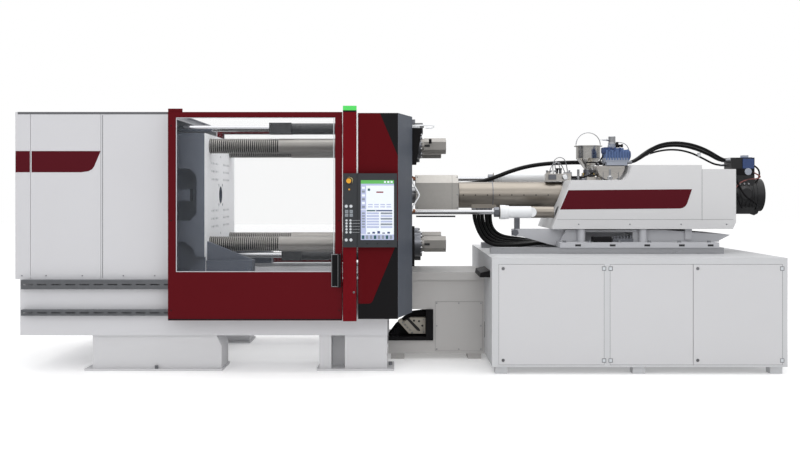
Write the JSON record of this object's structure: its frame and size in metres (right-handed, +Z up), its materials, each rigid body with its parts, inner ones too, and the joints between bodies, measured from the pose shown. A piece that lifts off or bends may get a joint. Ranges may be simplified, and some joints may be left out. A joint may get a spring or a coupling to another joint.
{
  "type": "injection moulding machine",
  "caption": "Horizontal two-platen injection moulding machine with sliding guard doors, grooved tie bars, control panel, injection unit on slideways and a base cabinet.",
  "frame": {"origin": "on the floor under the middle of the machine", "axes": "+X from the clamp towards the injection unit, -Y the operator's side, +Z up"},
  "size_m": [6.51, 2.32, 2.182],
  "materials": {
    "cover_white": "fine satin powder coat",
    "frame_white": "satin paint on welded steel",
    "door_red": "satin dark red powder coat",
    "housing_red": "gloss red powder coat",
    "slate_paint": "satin slate powder coat",
    "black_paint": "gloss black",
    "platen_paint": "satin casting paint with machined faces",
    "machined_steel": "ground and turned steel",
    "stainless": "brushed stainless sheet",
    "chrome": "hard chrome rod",
    "zinc": "zinc plated fastener",
    "clear_sheet": "clear polycarbonate sheet",
    "panel_dark": "fine textured plastic",
    "screen_face": "lit display behind glass",
    "lamp_green": "lit diffuser",
    "key_silver": "illuminated push-button cap",
    "stop_amber": "mushroom push-button cap",
    "hose_rubber": "smooth hydraulic hose cover",
    "unit_blue": "hammer paint on a cast housing",
    "motor_black": "satin black cast motor",
    "manifold_beige": "yellow passivated block"
  },
  "bodies": {
    "root": {"clamp_bed": "frame_white", "bed_feet": "frame_white", "anchor_bolts": "zinc", "guide_rails": "machined_steel", "clamp_end_cover": "cover_white", "clamp_side_covers": "cover_white", "clamp_roof": "cover_white", "door_tracks": "stainless", "fixed_platen": "platen_paint", "tie_bars": "machined_steel", "tie_bar_nuts": "machined_steel", "travel_cylinders": "black_paint", "door_post": "housing_red", "status_light": "lamp_green", "operator_housing": "black_paint", "side_panel": "slate_paint", "panel_case": "panel_dark", "panel_screen": "screen_face", "injection_frame": "frame_white", "access_panel": "frame_white", "valve_manifold": "manifold_beige", "base_cabinet": "cover_white", "traverse_rods": "chrome"},
    "front_guard_door": {"front_door": "door_red", "front_window": "clear_sheet", "front_door_handle": "black_paint"},
    "rear_guard_door": {"rear_door": "door_red", "rear_window": "clear_sheet"},
    "platen_unit": {"moving_platen": "platen_paint", "travel_rods": "chrome", "ejector_cylinder": "black_paint"},
    "ejector": {"ejector_crosshead": "machined_steel"},
    "jaws_front": {"lock_jaws_front": "machined_steel"},
    "jaws_rear": {"lock_jaws_rear": "machined_steel"},
    "button_upper_left": {"push_button_upper_left": "key_silver"},
    "button_upper_right": {"push_button_upper_right": "key_silver"},
    "button_lower_left": {"push_button_lower_left": "key_silver"},
    "button_lower_right": {"push_button_lower_right": "key_silver"},
    "stop_button": {"emergency_stop": "stop_amber"},
    "injection_unit": {"carriage_base": "frame_white", "injection_cover": "cover_white", "barrel": "machined_steel", "barrel_shroud": "stainless", "nozzle_guard": "stainless", "drive_motor": "motor_black", "traverse_cylinders": "stainless", "hopper": "stainless", "conveying_unit": "unit_blue", "upper_hoses": "hose_rubber", "lower_hoses": "hose_rubber"},
    "bail": {"hopper_bail": "chrome"},
    "screw_carrier": {"thrust_block": "machined_steel"},
    "screw": {"screw": "machined_steel"},
    "cabinet_leaf_left": {"cabinet_door_left": "cover_white"},
    "cabinet_leaf_middle": {"cabinet_door_middle": "cover_white"},
    "cabinet_leaf_right": {"cabinet_door_right": "cover_white"},
    "lock_left_upper": {"cam_lock_left_upper": "zinc"},
    "lock_left_lower": {"cam_lock_left_lower": "zinc"},
    "lock_right_upper": {"cam_lock_right_upper": "zinc"},
    "lock_right_lower": {"cam_lock_right_lower": "zinc"}
  },
  "joints": [
    {"name": "front_door_slide", "type": "slide", "parent": "root", "child": "front_guard_door", "axis": [-1, 0, 0], "range_m": [0, 1.25]},
    {"name": "rear_door_slide", "type": "slide", "parent": "root", "child": "rear_guard_door", "axis": [-1, 0, 0], "range_m": [0, 1.25]},
    {"name": "platen_travel", "type": "slide", "parent": "root", "child": "platen_unit", "axis": [1, 0, 0], "range_m": [0, 0.9]},
    {"name": "ejector_stroke", "type": "slide", "parent": "platen_unit", "child": "ejector", "axis": [1, 0, 0], "range_m": [0, 0.2]},
    {"name": "jaws_front_close", "type": "slide", "parent": "platen_unit", "child": "jaws_front", "axis": [0, 1, 0], "range_m": [0, 0.025]},
    {"name": "jaws_rear_close", "type": "slide", "parent": "platen_unit", "child": "jaws_rear", "axis": [0, -1, 0], "range_m": [0, 0.025]},
    {"name": "button_upper_left_press", "type": "slide", "parent": "root", "child": "button_upper_left", "axis": [0, 1, 0], "range_m": [0, 0.004], "stiffness_N_per_m": 400},
    {"name": "button_upper_right_press", "type": "slide", "parent": "root", "child": "button_upper_right", "axis": [0, 1, 0], "range_m": [0, 0.004], "stiffness_N_per_m": 400},
    {"name": "button_lower_left_press", "type": "slide", "parent": "root", "child": "button_lower_left", "axis": [0, 1, 0], "range_m": [0, 0.004], "stiffness_N_per_m": 400},
    {"name": "button_lower_right_press", "type": "slide", "parent": "root", "child": "button_lower_right", "axis": [0, 1, 0], "range_m": [0, 0.004], "stiffness_N_per_m": 400},
    {"name": "stop_button_press", "type": "slide", "parent": "root", "child": "stop_button", "axis": [0, 1, 0], "range_m": [0, 0.006], "stiffness_N_per_m": 500},
    {"name": "carriage_travel", "type": "slide", "parent": "root", "child": "injection_unit", "axis": [1, 0, 0], "range_m": [0, 0.35]},
    {"name": "bail_swing", "type": "hinge", "parent": "injection_unit", "child": "bail", "pos_m": [1.669, 0, 1.922], "axis": [1, 0, 0], "range_deg": [-88, 88]},
    {"name": "injection_stroke", "type": "slide", "parent": "injection_unit", "child": "screw_carrier", "axis": [1, 0, 0], "range_m": [0, 0.25]},
    {"name": "screw_rotation", "type": "hinge", "parent": "screw_carrier", "child": "screw", "pos_m": [1, 0, 1.458], "axis": [1, 0, 0], "continuous": true},
    {"name": "cabinet_left_swing", "type": "hinge", "parent": "root", "child": "cabinet_leaf_left", "pos_m": [1.588, -1.1, 0.486], "axis": [0, 0, 1], "range_deg": [0, 90]},
    {"name": "cabinet_middle_swing", "type": "hinge", "parent": "root", "child": "cabinet_leaf_middle", "pos_m": [1.639, -1.1, 0.486], "axis": [0, 0, -1], "range_deg": [0, 90]},
    {"name": "cabinet_right_swing", "type": "hinge", "parent": "root", "child": "cabinet_leaf_right", "pos_m": [3.037, -1.1, 0.486], "axis": [0, 0, 1], "range_deg": [0, 110]},
    {"name": "lock_left_upper_turn", "type": "hinge", "parent": "cabinet_leaf_left", "child": "lock_left_upper", "pos_m": [0.768, -1.1, 0.86], "axis": [0, 1, 0], "range_deg": [0, 90]},
    {"name": "lock_left_lower_turn", "type": "hinge", "parent": "cabinet_leaf_left", "child": "lock_left_lower", "pos_m": [0.768, -1.1, 0.115], "axis": [0, -1, 0], "range_deg": [0, 90]},
    {"name": "lock_right_upper_turn", "type": "hinge", "parent": "cabinet_leaf_right", "child": "lock_right_upper", "pos_m": [2.349, -1.1, 0.86], "axis": [0, 1, 0], "range_deg": [0, 90]},
    {"name": "lock_right_lower_turn", "type": "hinge", "parent": "cabinet_leaf_right", "child": "lock_right_lower", "pos_m": [2.349, -1.1, 0.115], "axis": [0, -1, 0], "range_deg": [0, 90]}
  ],
  "couplings": [
    {"joint": "jaws_rear_close", "follows": "jaws_front_close", "ratio": 1}
  ]
}
